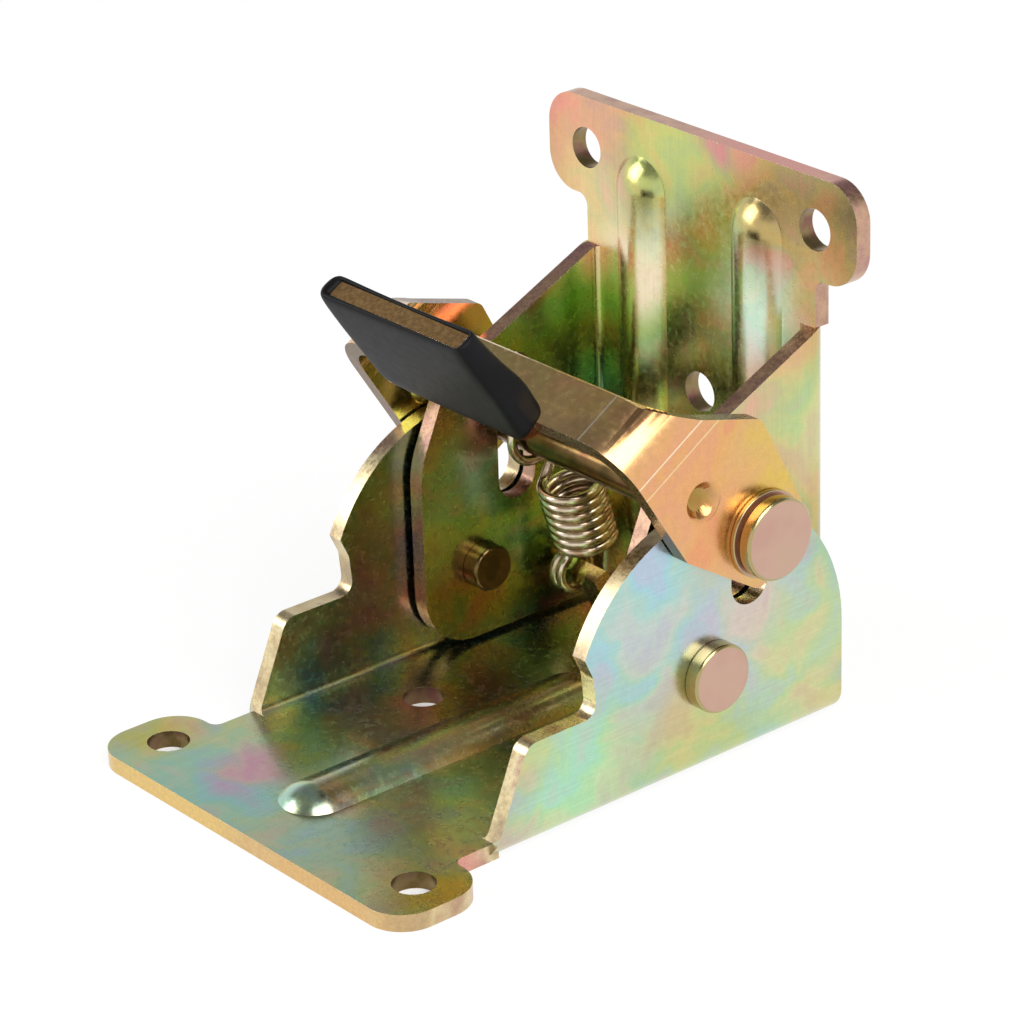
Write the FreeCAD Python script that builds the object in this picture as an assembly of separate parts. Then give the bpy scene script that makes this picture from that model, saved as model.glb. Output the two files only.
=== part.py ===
"""Locking hinge for a folding table leg: two pressed brackets, a lever with a lock pin and its spring.

Millimetres. The table leg stands up (+Z) behind the hinge, and folds forward (-Y) over the base plate.
The origin is the middle of the base plate's underside. Sizes along Y are given from the front edge.
"""
import FreeCAD, Part
import math
import os

os.makedirs("parts", exist_ok=True)

# Sheet metal
SHEET = 2.0
BEND = 0.9

# Base bracket
WIDTH = 54.0
DEPTH = 68.0
TAB_STEP = 5.2
RIM_R = 19.6
TAB_END = 12.4
TAB_CORNER = 4.5
TAB_WAIST = 0.9
NECK_END = 18.6
FOOT_FRONT = 17.0
FOOT_TOP = 12.4
FOOT_LEAN = 5.3
DENT_Y = 31.9
DENT_TOP = 19.6
SCREW_R = 2.4
TAB_HOLE_EDGE = 5.4
TAB_HOLE_Y = 6.6
FLOOR_HOLE_X = 10.4
FLOOR_HOLE_Y = 33.9

# Main pivot
PIVOT_Y = 48.4
PIVOT_Z = 11.6
PIVOT_R = 2.75
PIVOT_HEAD_R = 3.95
PIVOT_HEAD = 1.9
PIVOT_REACH = 2.3
PIN_CHAMFER = 0.3

# Leg bracket
HEIGHT = 63.0
SIDE_GAP = 0.7
FLOOR_GAP = 0.6
LEG_PROUD = 1.0
LEG_FRONT_R = 8.3
LEG_FOOT_R = 7.0
NOSE_RISE = 14.0
NOSE_BLEND = 12.0
EAR_STEP = 3.1
EAR_DEPTH = 11.7
EAR_CORNER = 4.2
NECK_STEP = 0.5
LEG_SHOULDER = 45.7
SLOPE_Y = 51.1
SLOPE_Z = 38.4
NOSE_Y = 43.9
NOSE_Z = 34.2
EAR_HOLE_EDGE = 6.4
EAR_HOLE_DROP = 6.0
EAR_HOLE_R = 2.4
LOW_HOLE_Z = 32.6

# Pressed beads
BEAD_HALF = 4.0
BEAD_RISE = 1.9
FLOOR_BEAD_START = 10.4
FLOOR_BEAD_END = 46.5
LEG_BEAD_X = 9.4
LEG_BEAD_DROP = 8.8
LEG_BEAD_LOW = 14.0

# Lock pin and the slots that it rides in
LOCK_Y = 54.1
LOCK_Z = 27.4
LOCK_R = 2.5
SLOT_PLAY = 0.2
SLOT_LOW = 20.9
LIFT = 6.0
LOCK_HEAD_R = 4.7
LOCK_HEAD = 1.6
LOCK_NECK_R = 4.0
LOCK_NECK = 0.5
LOCK_COLLAR_R = 5.0
LOCK_COLLAR = 0.6

# Lever, in its own frame: the pin's axis is the origin, T runs back and N up
LEVER_TILT = 31.0
LEVER_GAP = 0.3
LEVER_BEND = 3.9
LEVER_TOP = 23.6
LEVER_FRONT = -9.9
BRIDGE_BACK = -3.4
EAR_TURN = 17.7
EAR_LOW = -5.2
EAR_LOW_R = 5.0
EAR_BACK = 6.6
EAR_SHOULDER = 11.6
DIMPLE_T = -4.2
DIMPLE_N = 9.9
DIMPLE_R = 2.4
DIMPLE_TIP_R = 1.6
DIMPLE_RISE = 1.5
TONGUE_HALF = 10.6
TONGUE_OUTER = -12.6
TONGUE_TIP = 37.9

# Grip
GRIP_SIDE = 2.1
GRIP_WALL = 1.2
GRIP_START = 24.2
GRIP_LIP = 0.3
GRIP_CORNER = 1.7

# Spring: a close-wound coil with an eye at each end, and the leg bracket's tongue that holds the lower one
WIRE_R = 0.6
WIRE_SIDES = 6
TURN_STEPS = 16
COIL_R = 3.3
COIL_TURNS = 7
COIL_PITCH = 1.22
COIL_SIDE = 7.6
COIL_PLACE = 0.62
EYE_TURNS = 1.5
EYE_GAP = 0.3
LOW_EYE_R = 2.4
HORN_BACK = 9.6
HORN_Z = 8.4
HORN_HALF = 1.0
HORN_END = 0.6
HORN_SIDE = 0.3
TONGUE_WIDE = 3.3
TONGUE_LEAN = 66.0

# Fits
FIT = 0.05

BASE_HALF = WIDTH / 2.0 - TAB_STEP
EAR_IN = BASE_HALF + LEVER_GAP
EAR_OUT = EAR_IN + SHEET
LEG_HALF = BASE_HALF - SHEET - SIDE_GAP
LEG_LOW = SHEET + FLOOR_GAP
LEG_BACK = DEPTH + LEG_PROUD
LEG_FACE = LEG_BACK - SHEET
EAR_HALF = BASE_HALF + EAR_STEP
EAR_BOTTOM = HEIGHT - EAR_DEPTH
EAR_HOLE_X = EAR_HALF - EAR_HOLE_EDGE
EAR_HOLE_Z = HEIGHT - EAR_HOLE_DROP
LEG_BEAD_TOP = HEIGHT - LEG_BEAD_DROP
GRIP_HALF = TONGUE_HALF + GRIP_SIDE
SLOT_HALF = LOCK_R + SLOT_PLAY
HORN_Y = LEG_BACK - HORN_BACK
SPRING_X = SHEET + COIL_SIDE - LEG_HALF
EYE_X = SPRING_X - COIL_R
TOP_EYE_R = LOCK_R + EYE_GAP + WIRE_R


def vec(x, y, z):
    return FreeCAD.Vector(x, y, z)


def side(y, z, x=0.0):
    """Outline point seen from the side."""
    return vec(x, y, z)


def front(x, z, y=0.0):
    """Outline point seen from the front."""
    return vec(x, y, z)


def top(x, y, z=0.0):
    """Outline point seen from above."""
    return vec(x, y, z)


def outline(points, view):
    """Closed face from (a, b, corner radius) points, with each corner rounded by a true arc."""
    arcs = {}
    ends = []
    count = len(points)
    for i in range(count):
        a, b, r = points[i]
        before = points[i - 1]
        after = points[(i + 1) % count]
        corner = view(a, b)
        to_before = (view(before[0], before[1]) - corner).normalize()
        to_after = (view(after[0], after[1]) - corner).normalize()
        if r == 0.0:
            ends.append((corner, corner))
            continue
        half = to_before.getAngle(to_after) / 2.0
        reach = r / math.tan(half)
        start = corner + to_before * reach
        end = corner + to_after * reach
        middle = (to_before + to_after).normalize()
        near = corner + middle * (r / math.sin(half) - r)
        arcs[i] = Part.Arc(start, near, end).toShape()
        ends.append((start, end))
    path = []
    for i in range(count):
        if i in arcs:
            path.append(arcs[i])
        leave = ends[i][1]
        arrive = ends[(i + 1) % count][0]
        if leave.distanceToPoint(arrive) > 1e-6:
            path.append(Part.LineSegment(leave, arrive).toShape())
    return Part.Face(Part.Wire(path))


def side_prism(points, half):
    """Side outline pushed through the whole width."""
    face = outline(points, side)
    face.translate(vec(-half, 0, 0))
    return face.extrude(vec(2 * half, 0, 0))


def rod(radius, x_start, x_end, y, z):
    """Round bar along X."""
    return Part.makeCylinder(radius, x_end - x_start, vec(x_start, y, z), vec(1, 0, 0))


def block(x0, x1, y0, y1, z0, z1):
    return Part.makeBox(x1 - x0, y1 - y0, z1 - z0, vec(x0, y0, z0))


def channel(half, rise, bend, view):
    """U section of the sheet: web at b = 0, sides rising along b, bends of one inside radius."""
    outer = bend + SHEET
    inner = half - SHEET
    return outline([
        (-half, rise, 0.0), (-half, 0.0, outer), (half, 0.0, outer), (half, rise, 0.0),
        (inner, rise, 0.0), (inner, SHEET, bend), (-inner, SHEET, bend), (-inner, rise, 0.0),
    ], view)


def bead_radius():
    return (BEAD_HALF ** 2 + BEAD_RISE ** 2) / (2.0 * BEAD_RISE)


def capsule(radius, start, end):
    """Round-ended bar from start to end."""
    run = end - start
    bar = Part.makeCylinder(radius, run.Length, start, run)
    return bar.fuse([Part.makeSphere(radius, start), Part.makeSphere(radius, end)])


def press_bead(plate, start, end, out, limits):
    """Presses one bead into a plate: start and end lie on the raised face, out is its normal."""
    radius = bead_radius()
    sink = out * (BEAD_RISE - radius)
    raised = capsule(radius, start + sink, end + sink).common(limits)
    hollow = capsule(radius - SHEET, start + sink, end + sink)
    return plate.fuse(raised).cut(hollow)


def slot_prism(y, z_low, z_high, half):
    """Round-ended upright slot between two centre heights, through the whole width."""
    bar = block(-half, half, y - SLOT_HALF, y + SLOT_HALF, z_low, z_high)
    ends = [rod(SLOT_HALF, -half, half, y, z) for z in (z_low, z_high)]
    return bar.fuse(ends)


def base_cheek_outline():
    """Side view of both base cheeks: a rim round the pivot, the foot in front and the dent between."""
    reach = BASE_HALF + 1.0
    disc = rod(RIM_R, -reach, reach, PIVOT_Y, PIVOT_Z)
    back = block(-reach, reach, DENT_Y, DEPTH, 0.0, PIVOT_Z)
    foot = side_prism([
        (FOOT_FRONT, 0.0, 0.0), (FOOT_FRONT + FOOT_LEAN, FOOT_TOP, 2.0),
        (PIVOT_Y, FOOT_TOP, 0.0), (PIVOT_Y, 0.0, 0.0),
    ], reach)
    dent = side_prism([
        (FOOT_FRONT, FOOT_TOP, 0.0), (DENT_Y, FOOT_TOP, 1.6), (DENT_Y - 0.4, DENT_TOP - 2.6, 2.0),
        (DENT_Y - 1.6, DENT_TOP, 0.0), (FOOT_FRONT, DENT_TOP, 0.0),
    ], reach)
    below = block(-reach, reach, 0.0, PIVOT_Y, 0.0, FOOT_TOP)
    rim = disc.cut(dent).cut(below)
    return rim.fuse([back, foot]).cut(block(-reach, reach, DEPTH, DEPTH + RIM_R, 0.0, HEIGHT))


def base_floor():
    """Flat floor with two screw tabs at the front and a waist behind each tab."""
    half = WIDTH / 2.0
    neck = BASE_HALF - TAB_WAIST
    waist = 1.2
    face = outline([
        (-half, 0.0, TAB_CORNER), (half, 0.0, TAB_CORNER), (half, TAB_END, TAB_CORNER),
        (neck, TAB_END, waist), (neck, NECK_END, 0.0),
        (-neck, NECK_END, 0.0), (-neck, TAB_END, waist), (-half, TAB_END, TAB_CORNER),
    ], top)
    return face.extrude(vec(0, 0, SHEET))


def base_bracket():
    reach = RIM_R + PIVOT_Z + 1.0
    section = channel(BASE_HALF, reach, BEND, front)
    section.translate(vec(0, FOOT_FRONT, 0))
    cheeks = section.extrude(vec(0, DEPTH - FOOT_FRONT, 0)).common(base_cheek_outline())
    bracket = cheeks.fuse(base_floor())
    limits = block(-WIDTH, WIDTH, 0.0, DEPTH, 0.0, HEIGHT)
    bracket = press_bead(
        bracket, vec(0, FLOOR_BEAD_START, SHEET), vec(0, FLOOR_BEAD_END, SHEET), vec(0, 0, 1), limits)
    holes = [slot_prism(LOCK_Y, SLOT_LOW, HEIGHT, WIDTH)]
    holes.append(rod(PIVOT_R + FIT, -WIDTH, WIDTH, PIVOT_Y, PIVOT_Z))
    for x, y in ((WIDTH / 2.0 - TAB_HOLE_EDGE, TAB_HOLE_Y), (FLOOR_HOLE_X, FLOOR_HOLE_Y)):
        for sign in (-1, 1):
            holes.append(Part.makeCylinder(SCREW_R, 3 * SHEET, vec(sign * x, y, -SHEET)))
    return bracket.cut(holes).removeSplitter()


def leg_plate():
    """Upright back plate: narrow below, with two screw ears at the top."""
    neck = LEG_HALF - NECK_STEP
    waist = 1.4
    root = LEG_HALF - BEND - SHEET
    face = outline([
        (-root, LEG_SHOULDER - SHEET, 0.0), (-root, LEG_SHOULDER, 0.0),
        (-neck, LEG_SHOULDER, 0.0), (-neck, EAR_BOTTOM, waist),
        (-EAR_HALF, EAR_BOTTOM, EAR_CORNER), (-EAR_HALF, HEIGHT, EAR_CORNER),
        (EAR_HALF, HEIGHT, EAR_CORNER), (EAR_HALF, EAR_BOTTOM, EAR_CORNER),
        (neck, EAR_BOTTOM, waist), (neck, LEG_SHOULDER, 0.0),
        (root, LEG_SHOULDER, 0.0), (root, LEG_SHOULDER - SHEET, 0.0),
    ], front)
    face.translate(vec(0, LEG_FACE, 0))
    return face.extrude(vec(0, SHEET, 0))


def leg_side_outline():
    """Side view of the leg cheeks: round under the pivot, straight behind, sloping along the top."""
    nose = PIVOT_Y - LEG_FRONT_R
    return side_prism([
        (nose, LEG_LOW, LEG_FOOT_R), (nose, PIVOT_Z + NOSE_RISE, NOSE_BLEND), (NOSE_Y, NOSE_Z, 1.5),
        (SLOPE_Y, SLOPE_Z, 0.0), (LEG_FACE, LEG_SHOULDER, 0.0), (LEG_BACK, LEG_SHOULDER, 0.0),
        (LEG_BACK, LEG_LOW, 0.0),
    ], LEG_HALF + 1.0)


def hook_tongue():
    """Narrow tongue turned up from the back plate's lower edge, with a side horn for the spring's eye."""
    lean = math.radians(TONGUE_LEAN)
    rise = vec(0, -math.cos(lean), math.sin(lean))
    across = vec(0, math.sin(lean), math.cos(lean)) * (SHEET / 2.0)
    horn = vec(0, HORN_Y, HORN_Z)
    tip = horn + rise * HORN_HALF
    root = horn - rise * HORN_HALF
    foot = horn - rise * ((HORN_Z - LEG_LOW) / math.sin(lean))
    tongue = outline([
        (tip.y - across.y, tip.z - across.z, 0.0), (tip.y + across.y, tip.z + across.z, 0.0),
        (foot.y + across.y + SHEET / 2.0, LEG_LOW + SHEET, BEND),
        (LEG_FACE + SHEET / 2.0, LEG_LOW + SHEET, 0.0), (LEG_FACE + SHEET / 2.0, LEG_LOW, 0.0),
        (foot.y - across.y, LEG_LOW, BEND + SHEET / 2.0),
    ], side)
    edge = EYE_X + WIRE_R + HORN_SIDE
    tongue.translate(vec(edge, 0, 0))
    bar = outline([
        (tip.y - across.y, tip.z - across.z, 0.0), (tip.y + across.y, tip.z + across.z, 0.0),
        (root.y + across.y, root.z + across.z, 0.0), (root.y - across.y, root.z - across.z, 0.0),
    ], side)
    end = EYE_X - EYE_TURNS * COIL_PITCH - WIRE_R - HORN_END
    bar.translate(vec(end, 0, 0))
    tongue = tongue.extrude(vec(TONGUE_WIDE, 0, 0))
    return tongue.fuse(bar.extrude(vec(edge - end + TONGUE_WIDE / 2.0, 0, 0)))


def leg_bracket():
    section = channel(LEG_HALF, LEG_BACK - PIVOT_Y + LEG_FRONT_R + 1.0, BEND, lambda a, b: top(a, LEG_BACK - b))
    section.translate(vec(0, 0, LEG_LOW))
    cheeks = section.extrude(vec(0, 0, LEG_SHOULDER - LEG_LOW)).common(leg_side_outline())
    bracket = cheeks.fuse([leg_plate(), hook_tongue()])
    limits = block(-WIDTH, WIDTH, 0.0, LEG_BACK, LEG_LOW, HEIGHT)
    for sign in (-1, 1):
        bracket = press_bead(
            bracket, vec(sign * LEG_BEAD_X, LEG_FACE, LEG_BEAD_LOW),
            vec(sign * LEG_BEAD_X, LEG_FACE, LEG_BEAD_TOP), vec(0, -1, 0), limits)
    lifted = LOCK_Z + LIFT
    holes = [slot_prism(LOCK_Y, SLOT_LOW, lifted, LEG_HALF + 1.0)]
    holes.append(rod(PIVOT_R + FIT, -WIDTH, WIDTH, PIVOT_Y, PIVOT_Z))
    for x, z, r in ((-EAR_HOLE_X, EAR_HOLE_Z, EAR_HOLE_R), (EAR_HOLE_X, EAR_HOLE_Z, EAR_HOLE_R),
                    (0.0, LOW_HOLE_Z, EAR_HOLE_R)):
        holes.append(Part.makeCylinder(r, 3 * SHEET, vec(x, LEG_FACE - SHEET, z), vec(0, 1, 0)))
    return bracket.cut(holes).removeSplitter()


def pivot_rivet():
    """Right-hand pivot rivet: a flat head outside, its shank through both cheeks."""
    head = rod(PIVOT_HEAD_R, BASE_HALF, BASE_HALF + PIVOT_HEAD, PIVOT_Y, PIVOT_Z)
    head = head.makeChamfer(PIN_CHAMFER, [head.Edges[0]])
    shank = rod(PIVOT_R, LEG_HALF - SHEET - PIVOT_REACH, BASE_HALF, PIVOT_Y, PIVOT_Z)
    shank = shank.makeChamfer(PIN_CHAMFER, [shank.Edges[2]])
    return head.fuse(shank).removeSplitter()


def lock_pin():
    """Lock pin: a bar across the leg bracket, and outside each lever ear a collar, a neck and a flat head."""
    bar_half = BASE_HALF - SHEET - FIT
    bar = rod(LOCK_R, -bar_half, bar_half, LOCK_Y, LOCK_Z)
    neck = EAR_OUT + LOCK_COLLAR
    face = neck + LOCK_NECK
    end = rod(LOCK_HEAD_R, face, face + LOCK_HEAD, LOCK_Y, LOCK_Z)
    end = end.makeChamfer(PIN_CHAMFER, [end.Edges[0]])
    end = end.fuse([
        rod(LOCK_R, BASE_HALF + FIT, EAR_OUT, LOCK_Y, LOCK_Z),
        rod(LOCK_COLLAR_R, EAR_OUT, neck, LOCK_Y, LOCK_Z),
        rod(LOCK_NECK_R, neck, face, LOCK_Y, LOCK_Z),
    ])
    return Part.makeCompound([bar, end, end.mirror(vec(0, 0, 0), vec(1, 0, 0))])


def to_lever(shape):
    """Turns a shape from the lever's own frame into the hinge."""
    shape.rotate(vec(0, 0, 0), vec(1, 0, 0), LEVER_TILT)
    shape.translate(vec(0, LOCK_Y, LOCK_Z))
    return shape


def tongue_profile():
    """Side view of the tongue, bent up from the bridge's front edge."""
    low = LEVER_TOP - SHEET
    inner = TONGUE_OUTER + SHEET
    return [
        (BRIDGE_BACK - SHEET, low, 0.0), (TONGUE_OUTER, low, BEND + SHEET),
        (TONGUE_OUTER, TONGUE_TIP, 0.0), (inner, TONGUE_TIP, 0.0),
        (inner, LEVER_TOP, BEND), (BRIDGE_BACK - SHEET, LEVER_TOP, 0.0),
    ]


def lock_lever():
    """Pressed lever: a bridge over both brackets, an ear outside each cheek and the grip's tongue."""
    depth = LEVER_TOP - EAR_LOW + 1.0
    section = channel(EAR_OUT, depth, LEVER_BEND, lambda a, b: front(a, LEVER_TOP - b))
    section.translate(vec(0, LEVER_FRONT, 0))
    strip = section.extrude(vec(0, EAR_BACK - LEVER_FRONT, 0))
    ears = side_prism([
        (LEVER_FRONT, LEVER_TOP + 1.0, 0.0), (LEVER_FRONT + 0.4, 5.7, 1.0), (-4.0, EAR_LOW, 1.4),
        (EAR_BACK - 1.0, EAR_LOW, EAR_LOW_R), (EAR_BACK, EAR_SHOULDER, 1.4), (0.6, EAR_TURN + 0.3, 3.0),
        (BRIDGE_BACK, LEVER_TOP - 0.6, 1.0), (BRIDGE_BACK, LEVER_TOP + 1.0, 0.0),
    ], EAR_OUT + 1.0)
    lever = strip.common(ears).fuse(side_prism(tongue_profile(), TONGUE_HALF))
    for sign in (-1, 1):
        out = vec(sign, 0, 0)
        tip = vec(sign * (EAR_IN - DIMPLE_RISE), DIMPLE_T, DIMPLE_N)
        boss = Part.makeCone(DIMPLE_TIP_R, DIMPLE_R + 0.4, DIMPLE_RISE, tip, out)
        floor = vec(sign * (EAR_OUT - DIMPLE_RISE), DIMPLE_T, DIMPLE_N)
        dish = Part.makeCone(DIMPLE_TIP_R - 0.6, DIMPLE_R, DIMPLE_RISE, floor, out)
        lever = lever.fuse(boss).cut(dish)
    lever = lever.cut(rod(LOCK_R + FIT, -WIDTH, WIDTH, 0.0, 0.0))
    return to_lever(lever.removeSplitter())


def lever_grip():
    """Dipped sleeve over the tongue, open at the tip so that the steel end shows."""
    inner = TONGUE_OUTER + SHEET
    sleeve = outline([
        (-GRIP_HALF, TONGUE_OUTER - GRIP_WALL, GRIP_CORNER), (GRIP_HALF, TONGUE_OUTER - GRIP_WALL, GRIP_CORNER),
        (GRIP_HALF, inner + GRIP_WALL, GRIP_CORNER), (-GRIP_HALF, inner + GRIP_WALL, GRIP_CORNER),
    ], top)
    sleeve.translate(vec(0, 0, GRIP_START))
    sleeve = sleeve.extrude(vec(0, 0, TONGUE_TIP + GRIP_LIP - GRIP_START))
    core = block(-TONGUE_HALF, TONGUE_HALF, TONGUE_OUTER, inner, GRIP_START, TONGUE_TIP + SHEET)
    under = block(-GRIP_HALF, GRIP_HALF, TONGUE_OUTER - SHEET, inner, 0.0, LEVER_TOP)
    return to_lever(sleeve.cut([core, under]))


def winding(centre, radius, along, across, rise, turns):
    """Points round a winding, from its radius along the first direction towards the second."""
    points = []
    for i in range(1, int(turns * TURN_STEPS)):
        turn = 2.0 * math.pi * i / TURN_STEPS
        spoke = along * math.cos(turn) + across * math.sin(turn)
        points.append(centre + spoke * radius + rise * (i / TURN_STEPS))
    return points


def spring_path():
    """Middle line of the wire: round the horn, up to the coil, round it and on round the lock pin."""
    lean = math.radians(TONGUE_LEAN)
    low = vec(EYE_X, HORN_Y, HORN_Z) + vec(0, -math.cos(lean), math.sin(lean)) * EYE_GAP
    high = vec(EYE_X, LOCK_Y, LOCK_Z - EYE_GAP / 2.0)
    axis = (high - low).normalize()
    across = axis.cross(vec(1, 0, 0))
    length = COIL_TURNS * COIL_PITCH
    spare = high.distanceToPoint(low) - LOW_EYE_R - TOP_EYE_R - length
    foot = low + axis * (LOW_EYE_R + spare * COIL_PLACE)
    head = foot + axis * length
    sideways = vec(-COIL_PITCH, 0, 0)
    low_eye = winding(low, LOW_EYE_R, axis, -across, sideways, EYE_TURNS)
    coil = winding(foot + vec(COIL_R, 0, 0), COIL_R, vec(-1, 0, 0), across, axis * COIL_PITCH, COIL_TURNS)
    top_eye = winding(high, TOP_EYE_R, -axis, across, sideways, EYE_TURNS)
    lower_run = (low + axis * LOW_EYE_R + foot) / 2.0
    upper_run = (high - axis * TOP_EYE_R + head) / 2.0
    return low_eye[::-1] + [lower_run] + coil + [upper_run] + top_eye


def lever_spring():
    """Tension spring of one wire, lofted through a section at each point of its middle line."""
    path = spring_path()
    normal = vec(1, 0, 0)
    sections = []
    for i, point in enumerate(path):
        before = path[max(i - 1, 0)]
        after = path[min(i + 1, len(path) - 1)]
        run = (after - before).normalize()
        normal = (normal - run * normal.dot(run)).normalize()
        beside = run.cross(normal)
        corners = []
        for k in range(WIRE_SIDES):
            turn = 2.0 * math.pi * k / WIRE_SIDES
            corners.append(point + (normal * math.cos(turn) + beside * math.sin(turn)) * WIRE_R)
        sections.append(Part.makePolygon(corners + corners[:1]))
    return Part.makeLoft(sections, True, True)


def build():
    right = pivot_rivet()
    left = right.mirror(vec(0, 0, 0), vec(1, 0, 0))
    return {
        "base_bracket": base_bracket(),
        "leg_bracket": leg_bracket(),
        "pivot_rivet_right": right,
        "pivot_rivet_left": left,
        "lock_pin": lock_pin(),
        "lock_lever": lock_lever(),
        "lever_grip": lever_grip(),
        "lever_spring": lever_spring(),
    }


middle = vec(0, -LEG_BACK / 2.0, 0)
for name, shape in build().items():
    shape.translate(middle)
    shape.exportStep("parts/" + name + ".step")
    box = shape.BoundBox
    print(name, len(shape.Solids), shape.isValid(), round(shape.Volume, 1),
          [round(v, 2) for v in (box.XMin, box.YMin, box.ZMin, box.XMax, box.YMax, box.ZMax)])
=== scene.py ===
"""Looks of the locking hinge: plated sheet, bright pins, dipped grip and wire spring in a small studio."""
import math

import bpy
from mathutils import Matrix, Vector
from mathutils.bvhtree import BVHTree


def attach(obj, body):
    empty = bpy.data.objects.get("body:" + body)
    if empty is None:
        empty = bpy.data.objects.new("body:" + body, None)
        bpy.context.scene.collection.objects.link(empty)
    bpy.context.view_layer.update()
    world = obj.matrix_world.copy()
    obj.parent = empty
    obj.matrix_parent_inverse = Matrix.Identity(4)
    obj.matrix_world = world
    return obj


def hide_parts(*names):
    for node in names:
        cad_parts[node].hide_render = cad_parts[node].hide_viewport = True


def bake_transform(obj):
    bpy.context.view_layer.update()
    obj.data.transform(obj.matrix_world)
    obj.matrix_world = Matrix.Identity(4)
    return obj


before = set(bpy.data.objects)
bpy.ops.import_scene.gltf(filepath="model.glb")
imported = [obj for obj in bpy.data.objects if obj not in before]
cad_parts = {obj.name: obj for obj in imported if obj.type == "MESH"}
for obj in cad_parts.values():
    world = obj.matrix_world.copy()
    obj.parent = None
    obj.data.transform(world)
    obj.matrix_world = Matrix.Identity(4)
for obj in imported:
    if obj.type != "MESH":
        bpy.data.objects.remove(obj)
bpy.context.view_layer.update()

MM = 0.001

# The front edge's Y in the row frame, in mm
FRONT_EDGE = -34.5

# Sizes and places on the hinge in mm: X across, Y from the front edge, Z up
GAUGE = 2.0
BASE_OUT = 21.8
BASE_IN = 19.8
LEG_OUT = 19.1
LEG_IN = 17.1
PLATE_FACE = 67.0
SCREW_R = 2.4
TAB_HOLE_X = 21.6
TAB_HOLE_Y = 6.6
FLOOR_HOLE_X = 10.4
FLOOR_HOLE_Y = 33.9
EAR_HOLE_X = 18.5
EAR_HOLE_Z = 57.0
LOW_HOLE_Z = 32.6
LOCK = Vector((0.0, 54.1, 27.4))
HORN = Vector((-12.8, 59.4, 8.4))

# Directions across the hinge and up from the tilted lever
ACROSS = Vector((1, 0, 0))
LEVER_TILT = math.radians(31)
LEVER_UP = Vector((0, -math.sin(LEVER_TILT), math.cos(LEVER_TILT)))

# Places in the lever's own frame in mm: x across, t back and n up from the lock pin's axis
TONGUE_HALF = 10.6
TONGUE_FRONT = -12.6
TONGUE_BACK = -10.6
DIMPLE_X = 23.2
DIMPLE_T = -4.2
DIMPLE_N = 9.9
DIMPLE_R = 2.4

# Rounded edges: their widths in mm, the least angle of an edge in degrees, and the weld's reach in metres
SHEET_ROUND = 0.3
PIN_ROUND = 0.15
ROUND_STEPS = 3
FOLD_ANGLE = 35
LEVER_FOLD_ANGLE = 70
FLAT_ANGLE = 0.4
WELD_REACH = 1e-6
FACE_WEIGHT = 90

# Cut faces: the metal behind one in gauges, and in mm the start under its skin and the two margins
CUT_DEPTH = 1.25
SKIN_DEPTH = 0.01
DIMPLE_MARGIN = 0.3
HOLE_MARGIN = 0.2

# Material slots of a sheet piece, after the film in slot 0, and the one that keeps a face's own
CUT_SLOT = 1
CORNER_SLOT = 2
BORE_SLOT = 3
OWN_SLOT = -1

# Spring: a close coil with an eye at each end, in mm, and the lean of the horn under the low eye
HORN_LEAN = math.radians(66)
WIRE_R = 0.6
WIRE_SIDES = 10
WIRE_SMOOTH = 3
WIRE_END = 0.75
TURN_STEPS = 16
COIL_R = 3.3
COIL_TURNS = 7
COIL_PITCH = 1.22
COIL_PLACE = 0.62
EYE_TURNS = 1.5
EYE_GAP = 0.3
LOW_EYE_R = 2.4
TOP_EYE_R = 3.4

# Sleeve: the points of its corners and sides, and in mm the shape of its front wall, its lower edge, its
# sagging back and its fuller right side with the nub under it
CORNER_STEPS = 5
SIDE_STEPS = 10
FRONT_TAPER = 0.3
LEAST_WALL = 0.3
FRONT_DROP = 1.0
FRONT_BLEND = 1.2
CORNER_RISE = 1.0
CORNER_FROM = 6.5
CORNER_REACH = 6.0
SAG_MARGIN = 4.0
BULGE_TOP = 37.5
BULGE_N = 29.0
BULGE_SPREAD = 3.6
BULGE_SIDE = 0.6
BULGE_BACK = 1.0
NUB_N = 25.2
NUB_SPREAD = 1.0
NUB_SIDE = 0.7
NUB_BACK = 0.4
BULGE_FROM = 1.0
BULGE_BLEND = 2.0
# Each outline up the tongue: the walls left, right, front and back, the height, the corner's radius, the
# sag of the back, and the share of the lower edge's rise and drop.
SLEEVE_OUTLINES = (
    ((0.05, 0.05, -0.35, 0.02), 25.0, 0.3, 0.0, 1.0),
    ((0.3, 0.6, -0.22, 0.3), 24.2, 0.5, 0.0, 1.0),
    ((0.7, 1.3, 0.1, 0.8), 24.6, 1.0, 0.0, 1.0),
    ((1.1, 1.9, 0.3, 1.1), 25.5, 1.5, 0.0, 0.8),
    ((1.3, 2.0, 0.42, 1.2), 27.0, 1.7, 0.0, 0.5),
    ((1.5, 2.0, 0.6, 1.15), 29.5, 1.8, 0.0, 0.2),
    ((1.65, 1.8, 0.8, 1.0), 32.5, 1.8, 0.0, 0.0),
    ((1.8, 1.5, 0.85, 0.85), 35.5, 1.7, -0.1, 0.0),
    ((1.8, 1.25, 0.85, 0.7), 37.4, 1.6, -0.3, 0.0),
    ((1.6, 1.1, 0.75, 0.6), 38.15, 1.4, -0.5, 0.0),
    ((1.0, 0.8, 0.45, 0.4), 38.4, 0.9, -0.5, 0.0),
    ((0.3, 0.3, 0.15, 0.1), 38.25, 0.4, -0.45, 0.0),
    ((0.02, 0.02, 0.02, 0.02), 37.8, 0.15, -0.3, 0.0),
    ((0.02, 0.02, 0.02, 0.02), 37.0, 0.15, 0.0, 0.0),
)

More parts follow.
